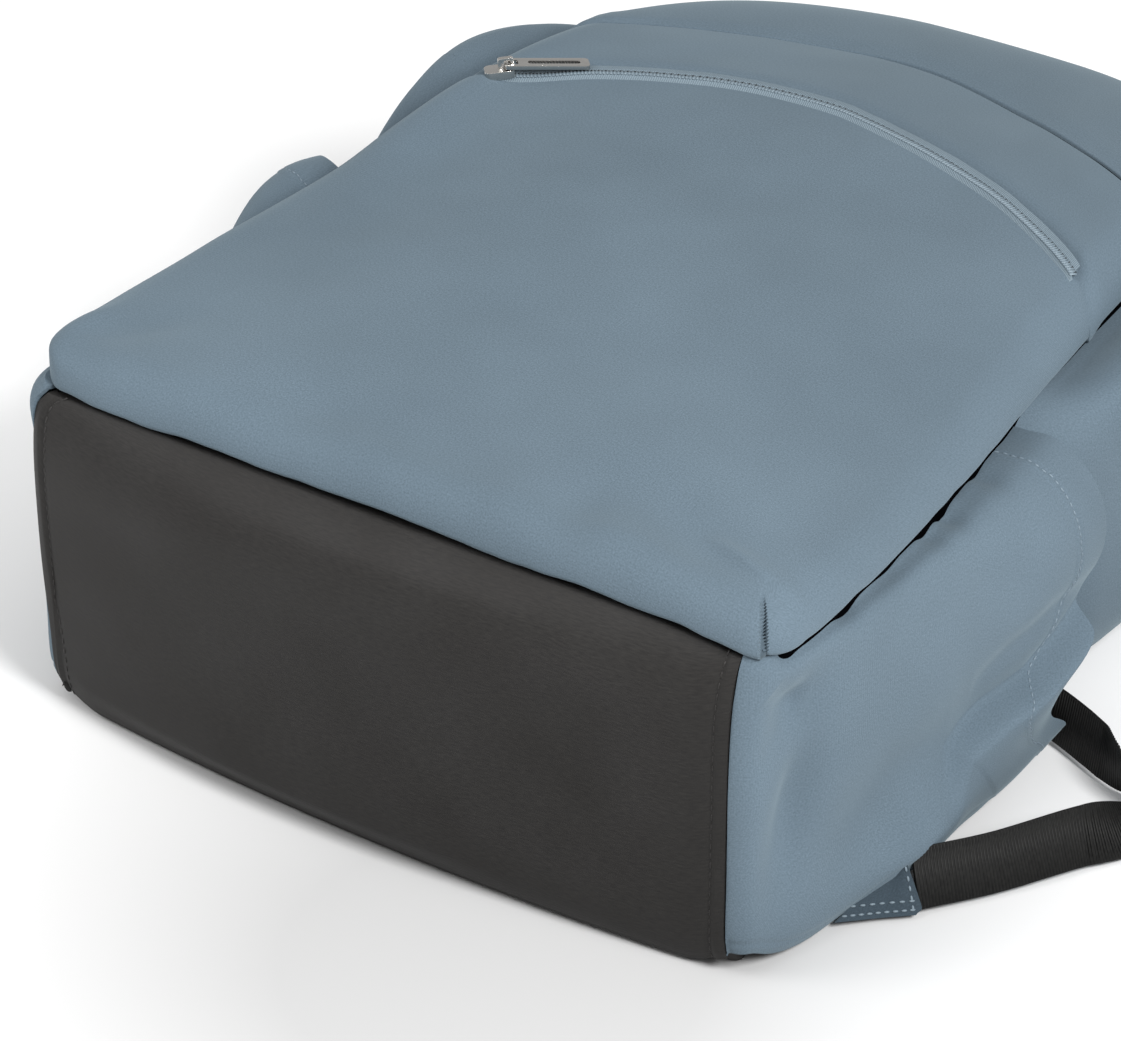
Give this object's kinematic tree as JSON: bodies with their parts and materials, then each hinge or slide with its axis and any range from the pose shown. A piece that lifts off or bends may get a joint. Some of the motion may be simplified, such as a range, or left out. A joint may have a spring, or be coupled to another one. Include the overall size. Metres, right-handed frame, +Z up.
{
  "type": "laptop backpack",
  "caption": "Soft laptop backpack lying on its back, with boxed base, curved front zip pocket, slip side pockets, zipped top band and padded straps.",
  "frame": {"origin": "centre of the bounding box in X and Y, on the floor under the padded back", "axes": "+X across the bag to its right, +Y from its base to its top, +Z up from the padded back to the front"},
  "size_m": [0.5484, 0.4816, 0.1545],
  "materials": {
    "cloth": "matte fine weave, blue grey",
    "base": "smooth coated twill, charcoal",
    "webbing": "ribbed webbing, charcoal",
    "zip_tape": "woven tape with coil, light blue grey",
    "padding": "padded mesh cloth, dark grey",
    "plastic": "moulded, satin",
    "metal": "polished"
  },
  "bodies": {
    "bag": {"base_panel": "base", "front_pocket_panel": "cloth", "front_zip": "zip_tape", "front_band_panel": "cloth", "front_top_panel": "cloth", "top_band_back": "cloth", "main_zip": "zip_tape", "top_band_front": "cloth", "back_panel": "padding", "side_pocket_left": "cloth", "side_panel_left": "cloth", "strap_tab_left": "cloth", "strap_webbing_left": "webbing", "strap_adjuster_left": "plastic", "shoulder_strap_left": "padding", "side_pocket_right": "cloth", "side_panel_right": "cloth", "strap_tab_right": "cloth", "strap_webbing_right": "webbing", "strap_adjuster_right": "plastic", "shoulder_strap_right": "padding", "grab_handle": "webbing", "front_zip_slider": "metal", "main_zip_slider": "metal"},
    "zip_pull": {"front_zip_pull": "metal"}
  },
  "joints": [
    {"name": "front_zip_pull_hinge", "type": "hinge", "parent": "bag", "child": "zip_pull", "pos_m": [-0.1147, 0.00965, 0.15186], "axis": [0.6762, -0.7366, 0.0124], "range_deg": [0, 150]}
  ]
}
